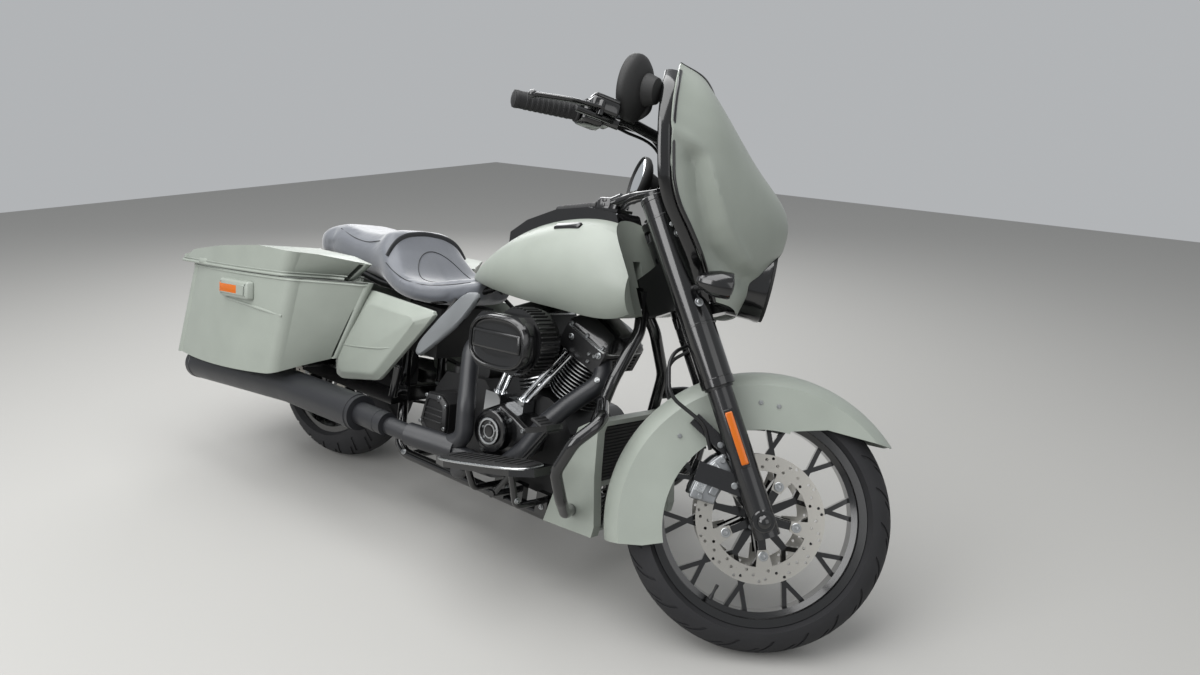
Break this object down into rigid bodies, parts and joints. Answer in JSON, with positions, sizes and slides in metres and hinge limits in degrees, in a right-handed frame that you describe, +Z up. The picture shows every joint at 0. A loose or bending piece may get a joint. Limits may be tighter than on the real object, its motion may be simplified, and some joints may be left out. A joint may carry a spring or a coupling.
{
  "type": "touring motorcycle",
  "caption": "Touring cruiser motorcycle with a fork-mounted fairing, hard saddlebags and a narrow-angle twin, leaning on its side stand with the bars turned to the stop.",
  "frame": {"origin": "on the ground, at the centre of the bounding box", "axes": "+X towards the machine's front, along its wheels' line; +Y to the rider's left; +Z up from the ground"},
  "size_m": [2.3954, 0.8974, 1.3594],
  "materials": {
    "body_paint": "satin",
    "gloss_black": "gloss",
    "fork_black": "satin",
    "wheel_black": "satin",
    "disc_steel": "brushed",
    "tyre": "matte",
    "grip_rubber": "matte",
    "hose_rubber": "satin",
    "trim_black": "matte",
    "clear_lens": "clear",
    "smoked_screen": "gloss",
    "caliper_grey": "satin",
    "engine_black": "satin",
    "engine_gloss": "gloss",
    "bright_metal": "polished",
    "exhaust_black": "satin",
    "seat_vinyl": "grained",
    "lamp_red": "gloss",
    "plate_metal": "satin",
    "amber_lens": "clear",
    "mirror_glass": "polished"
  },
  "bodies": {
    "front_wheel": {"front_tyre": "tyre", "front_rim": "wheel_black", "front_discs": "disc_steel"},
    "rear_wheel": {"rear_tyre": "tyre", "rear_rim": "wheel_black", "rear_disc": "disc_steel", "rear_pulley": "wheel_black"},
    "fork": {"fork_legs": "fork_black", "fork_covers": "gloss_black", "triple_clamps": "gloss_black", "grips": "grip_rubber", "handlebar": "gloss_black", "mirrors": "gloss_black", "front_fender": "body_paint", "fairing_outer": "body_paint", "headlamp": "trim_black", "headlamp_lens": "clear_lens", "fairing_inner": "trim_black", "gauges_speakers": "trim_black", "windscreen": "smoked_screen", "turn_signals": "gloss_black", "front_calipers": "caliper_grey", "brake_hoses": "hose_rubber"},
    "machine": {"frame": "gloss_black", "swingarm": "gloss_black", "shocks": "fork_black", "drive_belt": "hose_rubber", "rear_caliper": "caliper_grey", "crankcase": "engine_black", "cylinders": "engine_black", "cylinder_heads": "engine_black", "pushrod_tubes": "bright_metal", "cam_cover": "engine_gloss", "primary_cover": "engine_gloss", "transmission": "engine_black", "air_cleaner": "engine_gloss", "exhaust_right": "exhaust_black", "exhaust_left": "exhaust_black", "fuel_tank": "body_paint", "tank_console": "gloss_black", "seat": "seat_vinyl", "rear_fender": "body_paint", "tail_lamps": "lamp_red", "number_plate": "plate_metal", "side_covers": "body_paint", "air_deflectors": "trim_black", "electrics_box": "trim_black", "saddlebag_left": "body_paint", "saddlebag_right": "body_paint", "chin_fairing": "body_paint", "oil_cooler": "trim_black", "engine_guard": "gloss_black", "footboards": "gloss_black", "foot_controls": "gloss_black"},
    "fuel_door": {"fuel_door": "gloss_black"},
    "lid_left": {"lid_left": "body_paint"},
    "lid_right": {"lid_right": "body_paint"},
    "side_stand": {"side_stand": "gloss_black"}
  },
  "joints": [
    {"name": "steering", "type": "hinge", "parent": "machine", "child": "fork", "pos_m": [0.6572, 0.06874, 0.86189], "axis": [-0.4271, 0.1776, 0.8866], "range_deg": [-70.14, 0]},
    {"name": "front_wheel_spin", "type": "hinge", "parent": "fork", "child": "front_wheel", "pos_m": [0.91574, -0.05343, 0.29764], "axis": [-0.5195, 0.7543, -0.4014], "continuous": true},
    {"name": "rear_wheel_spin", "type": "hinge", "parent": "machine", "child": "rear_wheel", "pos_m": [-0.71159, -0.03919, 0.32297], "axis": [0, 0.9805, -0.1964], "continuous": true},
    {"name": "side_stand_fold", "type": "hinge", "parent": "machine", "child": "side_stand", "pos_m": [0.01646, 0.09692, 0.13184], "axis": [0.0209, 0.9251, 0.3792], "range_deg": [0, 75]},
    {"name": "lid_left_hinge", "type": "hinge", "parent": "machine", "child": "lid_left", "pos_m": [-0.80787, 0.42461, 0.5357], "axis": [-0.9976, -0.0137, -0.0685], "range_deg": [0, 80]},
    {"name": "lid_right_hinge", "type": "hinge", "parent": "machine", "child": "lid_right", "pos_m": [-0.80787, -0.3853, 0.69791], "axis": [0.9976, 0.0137, 0.0685], "range_deg": [0, 80]},
    {"name": "fuel_door_hinge", "type": "hinge", "parent": "machine", "child": "fuel_door", "pos_m": [0.39056, 0.088, 0.95808], "axis": [0, 0.9805, -0.1964], "range_deg": [0, 75]}
  ]
}
